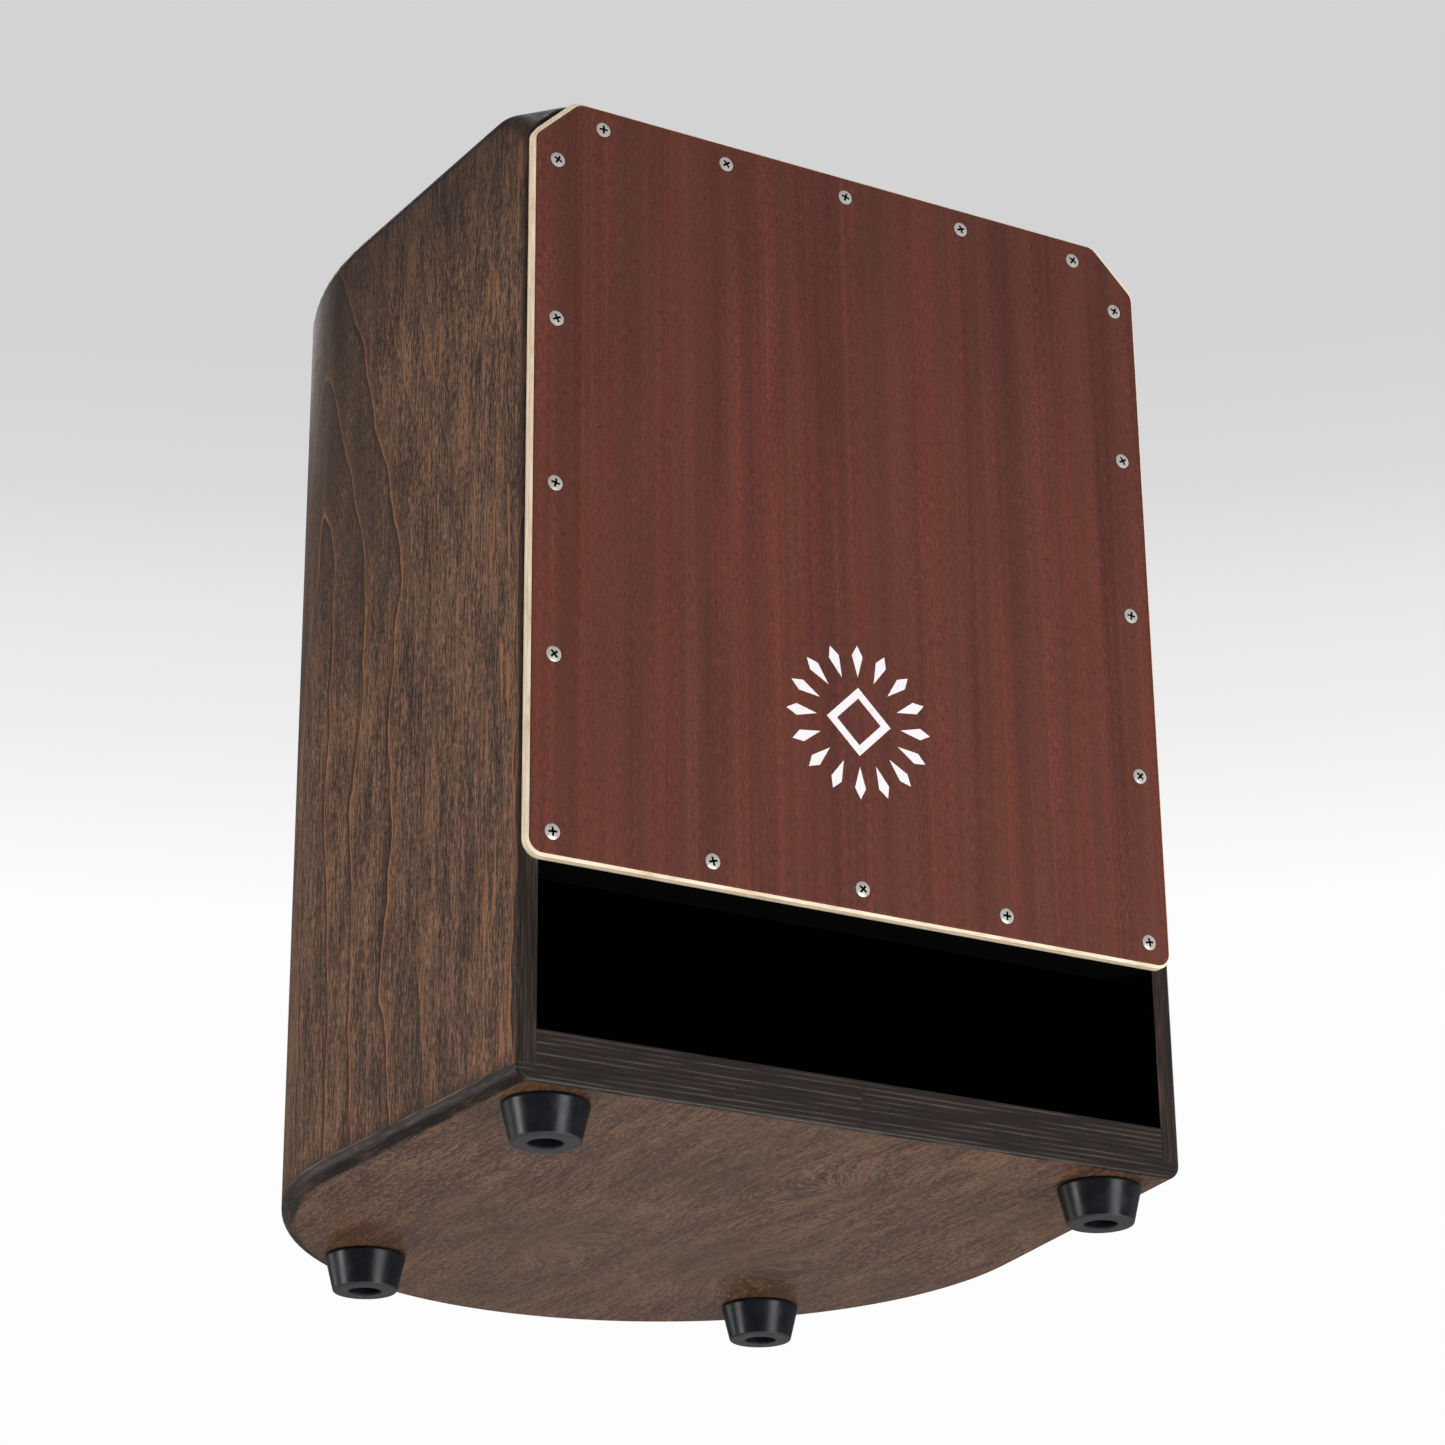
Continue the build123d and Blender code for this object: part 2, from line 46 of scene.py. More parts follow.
# The wall's plan, which is two straight sides and a round back, and the length of its flat sheet
BACK_RUN = BACK_CENTRE_Y - FRONT_Y
TAPER = math.atan2(BACK_RUN, HALF_FRONT) - math.acos(BACK_RADIUS / math.hypot(HALF_FRONT, BACK_RUN))
TANGENT_Y = BACK_CENTRE_Y - BACK_RADIUS * math.sin(TAPER)
SIDE_LENGTH = (TANGENT_Y - FRONT_Y) / math.cos(TAPER)
BEND_HALF_ANGLE = math.pi / 2 + TAPER
HALF_SHEET = BACK_RADIUS * BEND_HALF_ANGLE + SIDE_LENGTH

# Sizes used to tell a CAD node's faces apart
TOLERANCE = 1 * MM
FRONT_ROUNDING = 2 * MM
SCREW_CROSS_REACH = 2.3 * MM
SCREW_DOME_DROP = 0.4 * MM

# How much of a face's unit normal points one way when the face counts as looking that way
SQUARE_ON = 0.999
FRONT_EDGE = 0.97
PANEL_FACE = 0.98
SCREW_DOME = 0.85

SHARP_ANGLE = math.radians(25)
DRUM_MIDDLE = Vector((0, 0, 0.24))


def srgb(red, green, blue):
    """A linear colour with alpha from 0-255 display values."""
    def linear(value):
        value /= 255
        return value / 12.92 if value <= 0.04045 else ((value + 0.055) / 1.055) ** 2.4
    return (linear(red), linear(green), linear(blue), 1.0)


# The inputs of a Mix node that blends colours, its factor first, and its output
MIX_INPUTS = (0, 6, 7)
MIX_OUTPUT = 2


class Nodes:
    """A node tree, with one short call for each kind of node; place is the point being shaded."""

    def __init__(self, tree, coordinates):
        self.tree = tree
        self.place = tree.nodes.new("ShaderNodeTexCoord").outputs[coordinates]

    def put(self, value, socket):
        """Links value to the socket, or sets it there if it is a plain number or colour."""
        if isinstance(value, bpy.types.NodeSocket):
            self.tree.links.new(value, socket)
        else:
            socket.default_value = value

    def math(self, operation, *values):
        node = self.tree.nodes.new("ShaderNodeMath")
        node.operation = operation
        for value, socket in zip(values, node.inputs):
            self.put(value, socket)
        return node.outputs[0]

    def add(self, *values):
        total = values[0]
        for value in values[1:]:
            total = self.math("ADD", total, value)
        return total

    def subtract(self, first, second):
        return self.math("SUBTRACT", first, second)

    def times(self, *values):
        product = values[0]
        for value in values[1:]:
            product = self.math("MULTIPLY", product, value)
        return product

    def split(self):
        node = self.tree.nodes.new("ShaderNodeSeparateXYZ")
        self.put(self.place, node.inputs[0])
        return node.outputs[0], node.outputs[1], node.outputs[2]

    def noise(self, x, y, seed=0.0, detail=2.0, roughness=0.5):
        """Noise at (x, y), given in multiples of its own feature size."""
        join = self.tree.nodes.new("ShaderNodeCombineXYZ")
        for value, socket in zip((x, y, seed), join.inputs):
            self.put(value, socket)
        node = self.tree.nodes.new("ShaderNodeTexNoise")
        self.put(join.outputs[0], node.inputs["Vector"])
        node.inputs["Scale"].default_value = 1.0
        node.inputs["Detail"].default_value = detail
        node.inputs["Roughness"].default_value = roughness
        return node.outputs["Fac"]

    def mottle(self, scale):
        """Even noise in all three directions."""
        node = self.tree.nodes.new("ShaderNodeTexNoise")
        self.put(self.place, node.inputs["Vector"])
        node.inputs["Scale"].default_value = scale
        node.inputs["Detail"].default_value = 3.0
        node.inputs["Roughness"].default_value = 0.6
        return node.outputs["Fac"]

    def grain(self, across, along, width, length, seed=0.0, detail=2.0, roughness=0.5):
        """Noise in streaks of that width and length, in metres, along one surface direction."""
        x, y = self.times(across, 1 / width), self.times(along, 1 / length)
        return self.noise(x, y, seed, detail, roughness)

    def swing(self, noise, amount):
        """Noise re-centred on 0, times amount."""
        return self.times(self.subtract(noise, 0.5), amount)

    def spread(self, value, low, high, to_low=0.0, to_high=1.0):
        """A smooth step from to_low at low to to_high at high."""
        node = self.tree.nodes.new("ShaderNodeMapRange")
        node.interpolation_type = "SMOOTHSTEP"
        self.put(value, node.inputs["Value"])
        limits = {"From Min": low, "From Max": high, "To Min": to_low, "To Max": to_high}
        for name, number in limits.items():
            node.inputs[name].default_value = number
        return node.outputs["Result"]

    def mix(self, factor, first, second):
        node = self.tree.nodes.new("ShaderNodeMix")
        node.data_type = "RGBA"
        for value, index in zip((factor, first, second), MIX_INPUTS):
            self.put(value, node.inputs[index])
        return node.outputs[MIX_OUTPUT]

    def ramp(self, factor, *stops):
        """A colour ramp; each stop is (position, colour)."""
        node = self.tree.nodes.new("ShaderNodeValToRGB")
        self.put(factor, node.inputs[0])
        while len(node.color_ramp.elements) < len(stops):
            node.color_ramp.elements.new(0.5)
        for element, (position, colour) in zip(node.color_ramp.elements, stops):
            element.position = position
            element.color = colour
        return node.outputs[0]

    def bump(self, height, strength, distance):
        node = self.tree.nodes.new("ShaderNodeBump")
        node.inputs["Strength"].default_value = strength
        node.inputs["Distance"].default_value = distance
        self.put(height, node.inputs["Height"])
        return node.outputs[0]


class Shader(Nodes):
    """A material's nodes, placed by the object's own coordinates."""

    def __init__(self, name):
        self.material = bpy.data.materials.new(name)
        self.material.use_nodes = True
        super().__init__(self.material.node_tree, "Object")
        self.surface = self.tree.nodes["Principled BSDF"]

    def finish(self, colour, roughness, normal, **sockets):
        """Wires up the surface; sockets are plain values for the shader's other inputs."""
        self.put(colour, self.surface.inputs["Base Color"])
        self.put(roughness, self.surface.inputs["Roughness"])
        self.put(normal, self.surface.inputs["Normal"])
        for name, value in sockets.items():
            self.surface.inputs[name.replace("_", " ")].default_value = value
        return self.material


def unrolled(shader):
    """The flat veneer's own directions: distance round the wall from its left front edge, and height."""
    x, y, z = shader.split()
    angle = shader.math("ARCTAN2", shader.math("ABSOLUTE", x), shader.subtract(y, BACK_CENTRE_Y))
    bend = shader.times(shader.math("MINIMUM", angle, BEND_HALF_ANGLE), BACK_RADIUS)
    flat = shader.math("MAXIMUM", shader.times(shader.subtract(TANGENT_Y, y), 1 / math.cos(TAPER)), 0.0)
    from_back = shader.times(shader.add(bend, flat), shader.math("SIGN", x))
    return shader.add(from_back, HALF_SHEET), z


STAIN_DARK = srgb(41, 31, 26)
STAIN_MID = srgb(84, 62, 50)
STAIN_LIGHT = srgb(140, 102, 76)
STAIN_ORANGE = srgb(158, 102, 66)


def stained_birch(shader, across, along, rings, ring_strength, seed, shade=0.0):
    """Colour, tone and height of walnut-stained birch.

    rings is the growth-ring count at each point, and shade darkens the tone and calms its streaks.
    """
    fine = shader.grain(across, along, 0.7 * MM, 5 * MM, seed, 4.0, 0.85)
    streak = shader.grain(across, along, 1.6 * MM, 28 * MM, seed + 3.1, 3.0, 0.65)
    cloud = shader.grain(across, along, 11 * MM, 60 * MM, seed + 7.7, 3.0, 0.55)
    streaks = shader.times(shader.swing(streak, 1.9), shader.subtract(1.0, shader.times(shade, 2.8)))
    tone = shader.add(0.5, shader.swing(fine, 4.9), streaks, shader.swing(cloud, 1.0))
    tone = shader.subtract(tone, shade)
    colour = shader.ramp(tone, (0.08, STAIN_DARK), (0.5, STAIN_MID), (0.95, STAIN_LIGHT))
    part = shader.math("FRACT", rings)
    glow = shader.math("POWER", shader.subtract(1.0, part), 9.0)
    line = shader.spread(part, 0.012, 0.05, 1.0, 0.0)
    dark = shader.times(shader.spread(part, 0.84, 1.0), shader.spread(part, 0.995, 1.0, 1.0, 0.0))
    broken = shader.spread(shader.grain(across, along, 4 * MM, 30 * MM, seed + 11.0), 0.3, 0.6, 0.5, 1.0)
    pale = shader.add(shader.times(line, 0.7), shader.times(glow, 0.3))
    colour = shader.mix(shader.times(pale, broken, ring_strength), colour, STAIN_ORANGE)
    colour = shader.mix(shader.times(dark, ring_strength, 0.85), colour, STAIN_DARK)
    pores = shader.spread(shader.grain(across, along, 0.55 * MM, 3.5 * MM, seed + 5.0, 1.0), 0.56, 0.68)
    colour = shader.mix(shader.times(pores, 0.5), colour, STAIN_DARK)
    height = shader.subtract(fine, shader.times(pores, 0.6))
    return colour, tone, height


def corner_painted_shade(shader):
    """Painted shade, strong on the two clipped top corners and fading to nothing over the wall beside them.
    """
    x, y, z = shader.split()
    inward = shader.times(shader.subtract(HALF_FRONT, shader.math("ABSOLUTE", x)), 1 / CORNER_CLIP)
    back = shader.times(shader.subtract(y, FRONT_Y), 1 / CORNER_CLIP_DEPTH)
    down = shader.times(shader.subtract(SEAT_TOP_Z, z), 1 / CORNER_CLIP)
    return shader.spread(shader.add(inward, back, down), 1.0, 1.9, 0.9, 0.0)


def shell_veneer():
    """The wall's outer face: vertical grain with nested arches on each side and on the back."""
    shader = Shader("shell_veneer")
    along, z = unrolled(shader)
    axis = 184 * MM
    period = HALF_SHEET - axis
    wander = shader.swing(shader.grain(along, z, 100 * MM, 130 * MM, 2.3), 46 * MM)
    ripple = shader.swing(shader.grain(along, z, 22 * MM, 24 * MM, 2.0, 2.0), 6 * MM)
    local = shader.add(along, wander, ripple, -axis)
    wrapped = shader.math("WRAP", local, period / 2, -period / 2)
    rise = shader.math("MAXIMUM", shader.times(shader.subtract(z, 270 * MM), 1 / (200 * MM)), 0.0)
    crown = shader.times(shader.math("POWER", rise, 1.35), 70 * MM)
    spine = shader.math("SQRT", shader.add(shader.times(wrapped, wrapped), (4 * MM) ** 2))
    field = shader.add(spine, crown)
    rings = shader.subtract(shader.times(field, 1 / (28 * MM)), 0.75)
    clear = shader.spread(field, 84 * MM, 104 * MM, 1.0, 0.35)
    upper = shader.spread(z, 200 * MM, 360 * MM)
    heart = shader.times(shader.spread(field, 50 * MM, 110 * MM, 0.26, 0.0), upper)
    colour, tone, height = stained_birch(shader, along, z, rings, clear, 1.0, heart)
    from_front = shader.subtract(HALF_SHEET, shader.math("ABSOLUTE", shader.subtract(along, HALF_SHEET)))
    near = shader.spread(from_front, 14 * MM, 60 * MM, 1.0, 0.0)
    flame = shader.add(shader.grain(along, z, 4 * MM, 60 * MM, 9.0, 1.0), shader.times(near, 0.035))
    flame = shader.times(shader.spread(flame, 0.67, 0.69), shader.add(0.15, shader.times(near, 0.45)))
    colour = shader.mix(flame, colour, STAIN_ORANGE)
    frayed = shader.add(z, shader.swing(shader.grain(along, z, 8 * MM, 20 * MM, 13.0), 14 * MM))
    top = shader.spread(frayed, SHELL_HIGH.z - 90 * MM, SHELL_HIGH.z + 2 * MM, 0.0, 0.6)
    foot = shader.spread(frayed, SHELL_LOW.z - 1 * MM, SHELL_LOW.z + 7 * MM, 0.55, 0.0)
    front = shader.spread(from_front, 0.5 * MM, 5 * MM, 0.75, 0.0)
    # Darker stain along the top, the foot and the front edges; on the clipped corners the darkening is
    # painted shade.
    front_stain_and_corner_shade = shader.math("MAXIMUM", front, corner_painted_shade(shader))
    stain = shader.math("MAXIMUM", shader.add(top, foot), front_stain_and_corner_shade)
    colour = shader.mix(shader.times(heart, 1.6), colour, srgb(72, 57, 45))
    colour = shader.mix(stain, colour, STAIN_DARK)
    roughness = shader.spread(tone, 0.2, 0.8, 0.50, 0.40)
    return shader.finish(colour, roughness, shader.bump(height, 0.35, 0.15 * MM), Specular_IOR_Level=0.2)


def panel_veneer(name, seed, knots):
    """The seat's and the floor's faces: grain from front to back that flows round the knots.

    Each knot is its x, its y, its size, and how far it pushes the grain aside.
    """
    shader = Shader(name)
    x, y, _ = shader.split()
    wander = shader.swing(shader.grain(x, y, 90 * MM, 160 * MM, seed, 3.0), 26 * MM)
    across = shader.add(x, wander)
    for knot_x, knot_y, size, push in knots:
        dx = shader.times(shader.subtract(x, knot_x), 1 / size)
        dy = shader.times(shader.subtract(y, knot_y), 1 / (1.6 * size))
        away = shader.add(shader.times(dx, dx), shader.times(dy, dy))
        nearness = shader.math("EXPONENT", shader.times(away, -1.0))
        across = shader.add(across, shader.times(nearness, push))
    rings = shader.times(across, 1 / (7 * MM))
    soft = shader.spread(shader.grain(x, y, 70 * MM, 70 * MM, seed + 4), 0.4, 0.62, 0.05, 0.6)
    colour, tone, height = stained_birch(shader, across, y, rings, soft, seed + 2.0)
    olive = shader.spread(shader.grain(x, y, 110 * MM, 110 * MM, seed + 6), 0.42, 0.6)
    colour = shader.mix(0.32, colour, srgb(80, 52, 35))
    colour = shader.mix(shader.times(olive, 0.35), colour, srgb(76, 60, 42))
    roughness = shader.spread(tone, 0.2, 0.8, 0.46, 0.38)
    return shader.finish(colour, roughness, shader.bump(height, 0.3, 0.12 * MM), Specular_IOR_Level=0.1)


def panel_edge():
    """The many thin layers at the seat's and the floor's front edges, stained nearly black."""
    shader = Shader("panel_edge")
    x, _, z = shader.split()
    reach = shader.add(unrolled(shader)[0], x)
    wave = shader.swing(shader.grain(z, reach, 20 * MM, 90 * MM, 4.0), 0.9 * MM)
    band = shader.math("PINGPONG", shader.times(shader.add(z, wave), 1 / (1.15 * MM)), 1.0)
    fine = shader.grain(z, reach, 0.4 * MM, 12 * MM, 6.0, 4.0, 0.75)
    patch = shader.grain(z, reach, 2.5 * MM, 50 * MM, 8.0, 2.0)
    line = shader.times(shader.spread(band, 0.45, 0.95), shader.spread(patch, 0.38, 0.6, 0.25, 1.0))
    tone = shader.add(0.34, shader.times(line, 0.42), shader.swing(fine, 1.1), shader.swing(patch, 0.4))
    colour = shader.ramp(tone, (0.1, srgb(17, 13, 12)), (0.5, srgb(38, 31, 28)), (0.95, srgb(82, 69, 62)))
    roughness = shader.spread(fine, 0.35, 0.65, 0.42, 0.32)
    return shader.finish(colour, roughness, shader.bump(tone, 0.4, 0.2 * MM), Specular_IOR_Level=0.22)


def lip_edge():
    """The rounded lips of the seat and the floor: sanded smooth, stained dark and satin."""
    shader = Shader("lip_edge")
    along, z = unrolled(shader)
    fine = shader.grain(z, along, 0.5 * MM, 9 * MM, 16.0, 3.0, 0.65)
    patch = shader.grain(z, along, 4 * MM, 40 * MM, 18.0, 3.0, 0.6)
    tone = shader.add(0.45, shader.swing(fine, 1.6), shader.swing(patch, 1.4))
    colour = shader.ramp(tone, (0.1, srgb(20, 15, 13)), (0.5, srgb(40, 31, 27)), (0.95, srgb(84, 60, 48)))
    # A thin pale line where the wall meets the lip, broken by the patches: a painted highlight.
    seam_height = shader.math("ABSOLUTE", shader.subtract(z, SHELL_LOW.z - 0.3 * MM))
    thin = shader.spread(seam_height, 0.1 * MM, 0.5 * MM, 1.0, 0.0)
    seam_highlight = shader.times(thin, shader.spread(patch, 0.35, 0.6))
    colour = shader.mix(shader.times(seam_highlight, 0.5), colour, srgb(150, 128, 116))
    roughness = shader.spread(fine, 0.35, 0.65, 0.42, 0.28)
    return shader.finish(colour, roughness, shader.bump(tone, 0.5, 0.25 * MM), Specular_IOR_Level=0.35)


def shell_edge():
    """The wall's flat front edges, where the sheet's layers run up and down."""
    shader = Shader("shell_edge")
    x, _, z = shader.split()
    depth = shader.subtract(shader.math("ABSOLUTE", x), HALF_FRONT)
    band = shader.math("PINGPONG", shader.times(depth, 1 / (0.75 * MM)), 1.0)
    fine = shader.grain(x, z, 0.5 * MM, 22 * MM, 3.0, 3.0, 0.65)
    patch = shader.grain(x, z, 3 * MM, 50 * MM, 5.0, 2.0)
    tone = shader.add(0.42, shader.swing(band, 0.18), shader.swing(fine, 1.7), shader.swing(patch, 0.8))
    colour = shader.ramp(tone, (0.1, srgb(20, 15, 13)), (0.5, srgb(39, 31, 27)), (0.95, srgb(92, 68, 55)))
    return shader.finish(colour, 0.45, shader.bump(tone, 0.4, 0.2 * MM), Specular_IOR_Level=0.22)


def black_inside():
    """Matt black paint over the wood inside the body."""
    shader = Shader("black_inside")
    x, y, z = shader.split()
    fine = shader.grain(shader.add(x, y), z, 1.2 * MM, 20 * MM, 9.0, 3.0)
    colour = shader.ramp(fine, (0.3, srgb(3, 3, 3)), (0.7, srgb(7, 6, 6)))
    return shader.finish(colour, 0.95, shader.bump(fine, 0.3, 0.2 * MM), Specular_IOR_Level=0.04)


def sapele():
    """Quarter-cut sapele: straight ribbons of tone, fine pores, satin lacquer."""
    shader = Shader("sapele")
    x, _, z = shader.split()
    ribbon = shader.grain(x, z, 11 * MM, 1500 * MM, 1.0, 2.0, 0.5)
    stripe = shader.grain(x, z, 3.2 * MM, 420 * MM, 4.0, 2.0, 0.55)
    block = shader.grain(x, z, 9 * MM, 80 * MM, 8.0, 2.0, 0.5)
    fibre = shader.grain(x, z, 0.5 * MM, 4.5 * MM, 2.0, 4.0, 0.75)
    tone = shader.add(0.5, shader.swing(ribbon, 0.8), shader.swing(stripe, 0.6),
                      shader.swing(block, 0.3), shader.swing(fibre, 1.9))
    colour = shader.ramp(tone, (0.1, srgb(66, 31, 25)), (0.5, srgb(91, 46, 38)), (0.9, srgb(120, 64, 51)))
    warm = shader.spread(shader.grain(x, z, 26 * MM, 300 * MM, 12.0, 2.0), 0.35, 0.65)
    colour = shader.mix(shader.times(warm, 0.35), colour, srgb(108, 54, 39))
    brown = shader.spread(shader.grain(x, z, 9 * MM, 1400 * MM, 15.0, 2.0), 0.42, 0.58)
    colour = shader.mix(shader.times(brown, 0.35), colour, srgb(86, 53, 40))
    # Darker towards the top of the tapa: painted shade.
    colour = shader.mix(shader.spread(z, 300 * MM, 470 * MM, 0.0, 0.2), colour, srgb(66, 40, 31))
    pores = shader.spread(shader.grain(x, z, 0.5 * MM, 3.2 * MM, 5.0, 1.0), 0.57, 0.69)
    colour = shader.mix(shader.times(pores, 0.5), colour, srgb(54, 27, 23))
    roughness = shader.spread(ribbon, 0.3, 0.7, 0.50, 0.43)
    height = shader.subtract(fibre, pores)
    return shader.finish(colour, roughness, shader.bump(height, 0.25, 0.12 * MM), Specular_IOR_Level=0.2)


def birch_core():
    """Pale plywood of the tapa's core: thin layers with darker glue lines, under clear lacquer."""
    shader = Shader("birch_core")
    x, y, z = shader.split()
    depth = shader.subtract(y, CORE_FACE_Y)
    layer = shader.math("PINGPONG", shader.times(shader.subtract(depth, 1.4 * MM), 1 / (1.35 * MM)), 1.0)
    glue = shader.spread(layer, 0.0, 0.22, 1.0, 0.0)
    reach = shader.add(x, z)
    fine = shader.grain(depth, reach, 0.35 * MM, 6 * MM, 3.0, 3.0, 0.6)
    blotch = shader.grain(depth, reach, 3 * MM, 26 * MM, 5.0, 2.0)
    tone = shader.add(0.55, shader.swing(fine, 1.1), shader.swing(blotch, 0.9))
    pale, dark = srgb(245, 231, 208), srgb(188, 154, 118)
    colour = shader.ramp(tone, (0.1, dark), (0.5, srgb(225, 205, 176)), (0.9, pale))
    colour = shader.mix(shader.times(glue, 0.65), colour, srgb(150, 112, 82))
    return shader.finish(colour, 0.5, shader.bump(tone, 0.3, 0.15 * MM), Specular_IOR_Level=0.25)


def rubber():
    """Moulded black rubber, greyer where it stands on the floor."""
    shader = Shader("foot_rubber")
    z = shader.split()[2]
    scuff = shader.mottle(140.0)
    colour = shader.ramp(scuff, (0.35, srgb(13, 15, 19)), (0.7, srgb(22, 25, 31)))
    sole = shader.spread(z, 0.3 * MM, 1.3 * MM, 1.0, 0.0)
    colour = shader.mix(shader.times(sole, 0.8), colour, srgb(58, 58, 59))
    roughness = shader.add(shader.spread(scuff, 0.3, 0.7, 0.27, 0.35), shader.times(sole, 0.25))
    normal = shader.bump(shader.mottle(900.0), 0.08, 0.1 * MM)
    return shader.finish(colour, roughness, normal, Specular_IOR_Level=0.3)


def steel(name, light, dark, roughness, metallic=1.0):
    """Plated steel with faint tarnish."""
    shader = Shader(name)
    stain = shader.mottle(700.0)
    colour = shader.ramp(stain, (0.3, dark), (0.65, light))
    rough = shader.spread(stain, 0.3, 0.7, roughness + 0.1, roughness - 0.06)
    return shader.finish(colour, rough, shader.bump(stain, 0.1, 0.05 * MM), Metallic=metallic)


def beech():
    """Plain wood of the snare bar, grain along x."""
    shader = Shader("beech")
    x, y, z = shader.split()
    fine = shader.grain(shader.add(y, z), x, 0.8 * MM, 25 * MM, 2.0, 3.0, 0.6)
    colour = shader.ramp(fine, (0.3, srgb(150, 112, 78)), (0.7, srgb(196, 158, 116)))
    return shader.finish(colour, 0.6, shader.bump(fine, 0.2, 0.2 * MM))


def white_print():
    """Screen-printed white ink that lets a little of the pores through."""
    shader = Shader("white_print")
    x, _, z = shader.split()
    pores = shader.spread(shader.grain(x, z, 0.5 * MM, 4.0 * MM, 5.0, 1.0), 0.56, 0.76)
    colour = shader.mix(shader.times(pores, 0.4), srgb(232, 228, 230), srgb(170, 148, 142))
    return shader.finish(colour, 0.5, shader.bump(pores, 0.2, 0.05 * MM), Specular_IOR_Level=0.25)


def dress(node, *materials):
    """Gives a CAD node its materials, in slot order."""
    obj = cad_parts[node]
    obj.data.materials.clear()
    for material in materials:
        obj.data.materials.append(material)
    return obj


def paint_faces(obj, chooser):
    """Sets each face's slot to what chooser says of its centre and normal."""
    for polygon in obj.data.polygons:
        polygon.material_index = chooser(polygon.center, polygon.normal)


def plan_depth(point):
    """How far inside the body's outer plan a point is."""
    sideways, back = abs(point.x), point.y - BACK_CENTRE_Y
    if back > -sideways * math.tan(TAPER):
        return BACK_RADIUS - math.hypot(sideways, back)
    return BACK_RADIUS - sideways * math.cos(TAPER) + back * math.sin(TAPER)


def shell_slot(centre, normal):
    """The wall's slot: 0 outside, 1 on the flat front edges, 2 inside the drum."""
    if plan_depth(centre) > WALL - TOLERANCE and abs(normal.y) < SQUARE_ON:
        return 2
    return 1 if normal.y < -FRONT_EDGE and centre.y < FRONT_Y + TOLERANCE else 0


def panel_slot(face_sign, outside_z):
    """A chooser for the seat or the floor: 0 outer face, 1 front edge, 2 inside the drum, 3 lip."""
    def choose(centre, normal):
        if normal.z * face_sign > PANEL_FACE and abs(centre.z - outside_z) < TOLERANCE:
            return 0
        behind = centre.y > FRONT_Y + FRONT_ROUNDING
        inside = plan_depth(centre) > WALL - TOLERANCE and behind
        if inside and abs(centre.z - outside_z) > LIP - TOLERANCE:
            return 2
        return 3 if behind else 1
    return choose


def dress_screws(node, count, heads, recess_shade):
    """Nickel heads with painted shade in their cross recesses, a darker metal there; the screws stand
    evenly between the node's ends.
    """
    low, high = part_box(node)
    radius = min(high.x - low.x, high.z - low.z) / 2
    start = Vector((low.x + radius, 0, low.z + radius))
    reach = Vector((high.x - low.x - 2 * radius, 0, high.z - low.z - 2 * radius))
    middles = [start + reach * (step / (count - 1)) for step in range(count)]

    def choose(centre, normal):
        flat = Vector((centre.x, 0, centre.z))
        off_axis = min((flat - middle).length for middle in middles)
        below_dome = normal.y > -SCREW_DOME or centre.y > TAPA_FACE_Y + SCREW_DOME_DROP
        return 1 if off_axis < SCREW_CROSS_REACH and below_dome else 0

    paint_faces(dress(node, heads, recess_shade), choose)


def dress_object():
    """Materials for every CAD node."""
    inside = black_inside()
    edge = panel_edge()
    paint_faces(dress("body_shell", shell_veneer(), shell_edge(), inside), shell_slot)
    seat_knots = ((-60 * MM, 60 * MM, 40 * MM, 34 * MM),)
    floor_knots = ((-32 * MM, 48 * MM, 17 * MM, 22 * MM), (32 * MM, -91 * MM, 18 * MM, -16 * MM),
                   (62 * MM, 52 * MM, 24 * MM, 28 * MM))
    seat_face = panel_veneer("seat_veneer", 21.0, seat_knots)
    floor_face = panel_veneer("floor_veneer", 5.0, floor_knots)
    lip = lip_edge()
    paint_faces(dress("seat_panel", seat_face, edge, inside, lip), panel_slot(1, SEAT_TOP_Z))
    paint_faces(dress("floor_panel", floor_face, edge, inside, lip), panel_slot(-1, FLOOR_UNDERSIDE_Z))
    dress("tapa_face_veneer", sapele())
    dress("tapa_core", birch_core())
    dress("front_emblem", white_print())
    for node in ("lower_tapa_rail", "left_tapa_batten", "right_tapa_batten"):
        dress(node, inside)
    black = rubber()
    for node in ("foot_front_left", "foot_front_right", "foot_back_left", "foot_back_right"):
        dress(node, black)
    nickel = steel("nickel", srgb(226, 221, 215), srgb(190, 184, 177), 0.26, 0.5)
    # Darker metal for the cross recesses: painted shade.
    recess_shade = steel("nickel_recess_painted_shade", srgb(58, 55, 52), srgb(22, 20, 19), 0.4)
    for node, count in (("tapa_screws_top", 5), ("tapa_screws_left", 5), ("tapa_screws_right", 5),
                        ("tapa_screws_bottom", 3)):
        dress_screws(node, count, nickel, recess_shade)
    zinc = steel("zinc", srgb(190, 192, 194), srgb(140, 142, 146), 0.35)
    for node in ("foot_screws", "foot_washers", "snare_plate_left", "snare_plate_right",
                 "snare_plate_screws", "snare_bar_screws", "snare_strands_left", "snare_strands_right"):
        dress(node, zinc)
    dress("snare_bar", beech())


def smooth_nodes():
    """Smooth shading, with hard edges kept where faces meet at more than the sharp angle."""
    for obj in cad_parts.values():
        obj.data.shade_smooth()
        obj.data.set_sharp_from_angle(angle=SHARP_ANGLE)


def add_camera():
    """A long lens below and to the left of the drum, looking up at its front and underside."""
    lens = bpy.data.cameras.new("camera")
    lens.sensor_width = 36.0
    lens.lens = 95.78
    camera = bpy.data.objects.new("camera", lens)
    bpy.context.scene.collection.objects.link(camera)
    ahead = Vector((0.4466, 0.80561, 0.38927)).normalized()
    right = ahead.cross(Vector((-0.17955, -0.34553, 0.92107))).normalized()
    up = right.cross(ahead)
    turn = Matrix((right, up, -ahead)).transposed().to_4x4()
    camera.matrix_world = Matrix.Translation((-0.7938, -1.4854, -0.4471)) @ turn
    bpy.context.scene.camera = camera


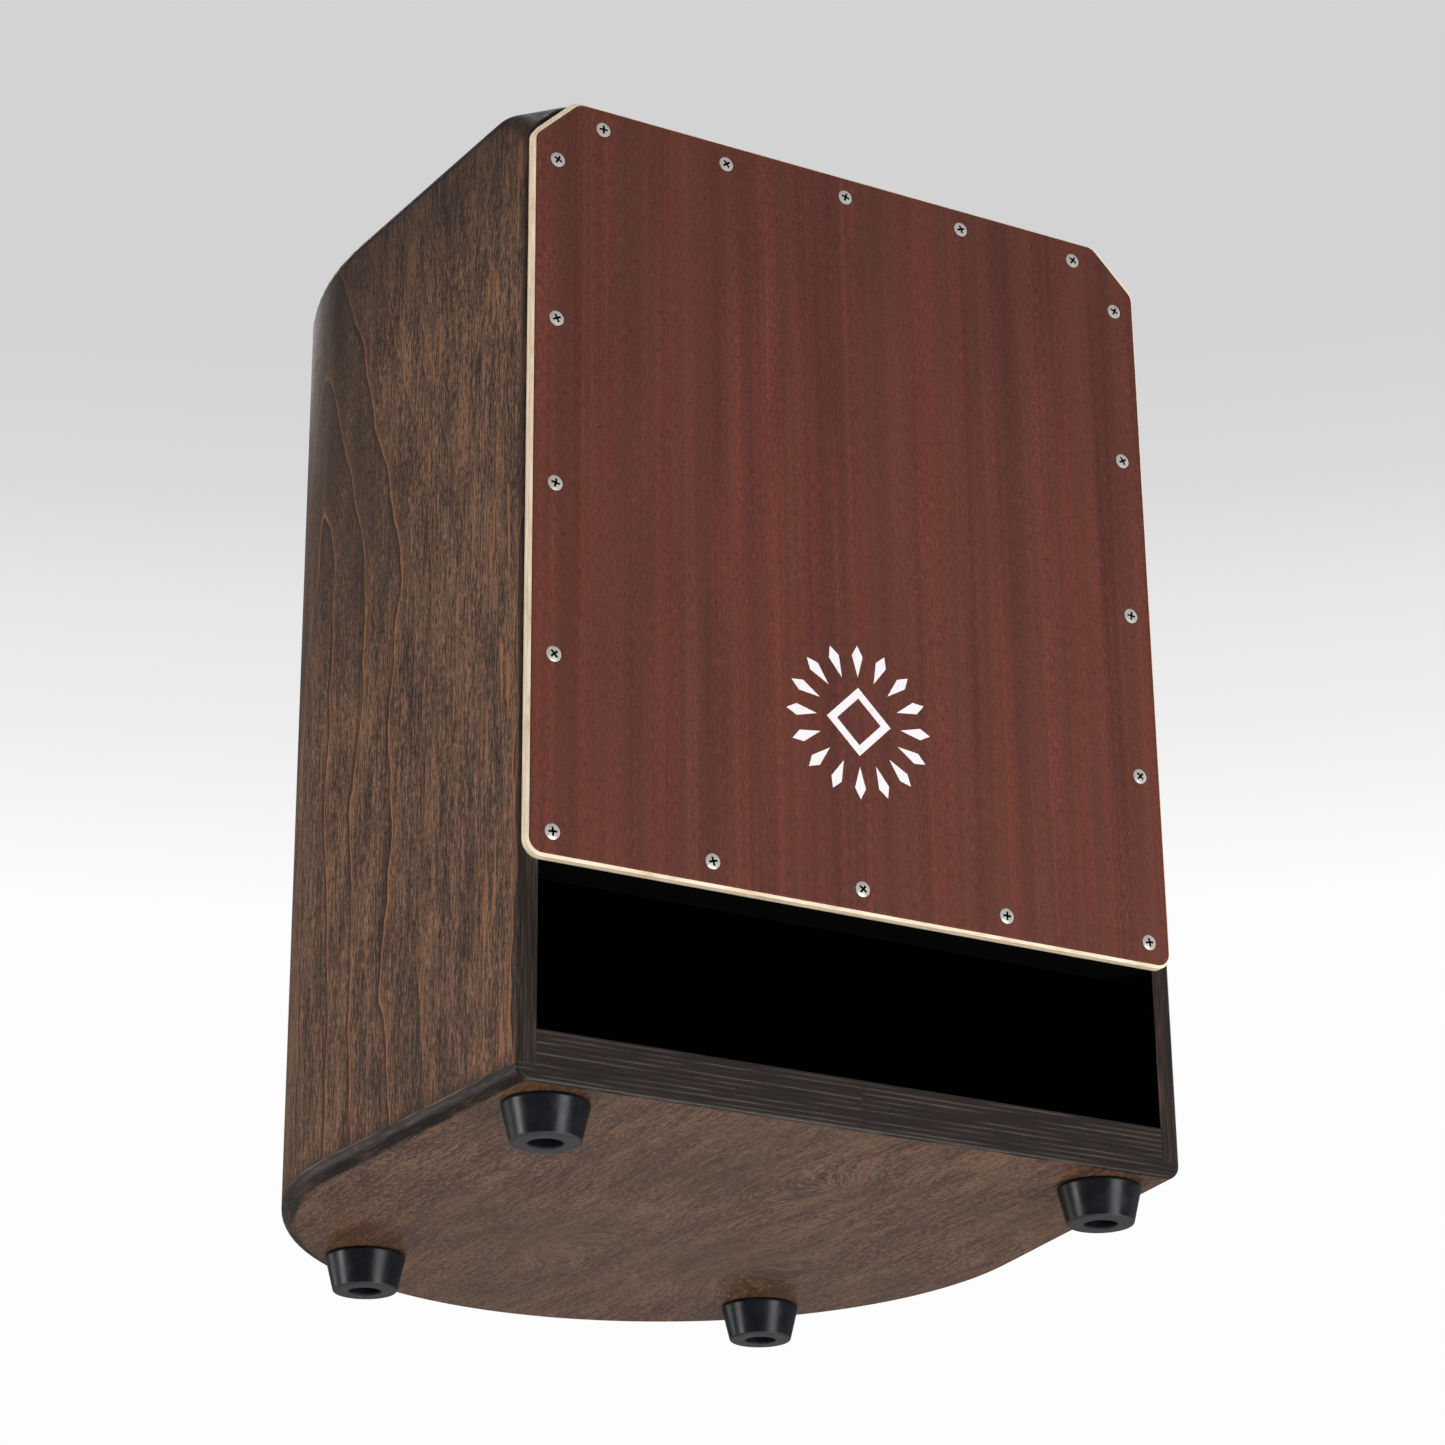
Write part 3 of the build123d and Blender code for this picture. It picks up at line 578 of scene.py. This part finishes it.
def add_light(name, place, width, height, power):
    """A soft rectangular lamp aimed at the middle of the drum."""
    data = bpy.data.lights.new(name, "AREA")
    data.shape = "RECTANGLE"
    data.size = width
    data.size_y = height
    data.energy = power
    light = bpy.data.objects.new(name, data)
    bpy.context.scene.collection.objects.link(light)
    light.location = place
    light.rotation_euler = (DRUM_MIDDLE - light.location).to_track_quat("-Z", "Y").to_euler()
    light.visible_camera = False
    return light


def add_world():
    """A backdrop, white low down and grey high up, for the camera, and soft even light for the rest."""
    world = bpy.data.worlds.new("studio")
    bpy.context.scene.world = world
    world.use_nodes = True
    sky = Nodes(world.node_tree, "Generated")
    upward = sky.split()[2]
    # Each stop is how far up a ray looks, as its direction's z, and the grey that it meets there
    greys = ((0.3414, 253), (0.3849, 238), (0.4136, 231), (0.4416, 218), (0.4761, 211))
    backdrop = sky.ramp(upward, *((position, srgb(grey, grey, grey)) for position, grey in greys))
    ray = sky.tree.nodes.new("ShaderNodeLightPath").outputs
    ambient = sky.mix(ray["Is Glossy Ray"], (0.5, 0.5, 0.5, 1), (0.14, 0.14, 0.145, 1))
    seen = sky.mix(ray["Is Camera Ray"], ambient, backdrop)
    sky.put(seen, sky.tree.nodes["Background"].inputs["Color"])


def add_floor():
    """A pale floor that is solid from above and clear from below, where the camera is."""
    mesh = bpy.data.meshes.new("studio_floor")
    reach = 6.0
    corners = [(-reach, -reach, 0), (reach, -reach, 0), (reach, reach, 0), (-reach, reach, 0)]
    mesh.from_pydata(corners, [], [(0, 1, 2, 3)])
    floor = bpy.data.objects.new("studio_floor", mesh)
    bpy.context.scene.collection.objects.link(floor)
    shader = Shader("studio_floor")
    speckle = shader.mottle(3.0)
    shader.finish(shader.ramp(speckle, (0.3, srgb(236, 236, 236)), (0.7, srgb(242, 242, 242))), 0.7,
                  shader.bump(speckle, 0.05, MM))
    clear = shader.tree.nodes.new("ShaderNodeBsdfTransparent")
    side = shader.tree.nodes.new("ShaderNodeNewGeometry").outputs["Backfacing"]
    either = shader.tree.nodes.new("ShaderNodeMixShader")
    for value, socket in zip((side, shader.surface.outputs[0], clear.outputs[0]), either.inputs):
        shader.put(value, socket)
    shader.put(either.outputs[0], shader.tree.nodes["Material Output"].inputs["Surface"])
    mesh.materials.append(shader.material)
    floor.visible_diffuse = False
    floor.visible_glossy = False
    floor.visible_shadow = False


def add_studio():
    """Soft lamps all round. The rear low one is kept out of reflections, so it only fills the underside."""
    add_light("front_softbox", (0.8, -2.4, -0.5), 1.1, 1.5, 29)
    add_light("left_softbox", (-2.6, 0.6, 0.1), 0.6, 1.9, 34)
    add_light("low_bounce", (-0.3, -1.2, -2.2), 2.2, 2.0, 12)
    add_light("under_sheen", (1.1, 2.0, -0.96), 1.0, 0.6, 1.8)
    add_light("rear_low", (0.1, 2.2, -0.9), 0.7, 0.4, 10).visible_glossy = False
    add_light("right_fill", (2.7, -0.4, 1.2), 1.4, 1.6, 16)
    add_light("back_fill", (0.23, 2.3, 1.96), 0.8, 0.6, 6)
    add_light("lip_strip", (-1.66, 2.13, -0.12), 0.8, 0.5, 3.6)
    add_light("edge_kicker", (0.99, -1.6, -1.33), 0.22, 0.22, 20)
    add_light("top_fill", (0.4, 0.2, 2.9), 2.0, 2.0, 24)
    add_world()
    add_floor()


bpy.context.scene.view_settings.view_transform = "Standard"
add_camera()
add_studio()
dress_object()
smooth_nodes()
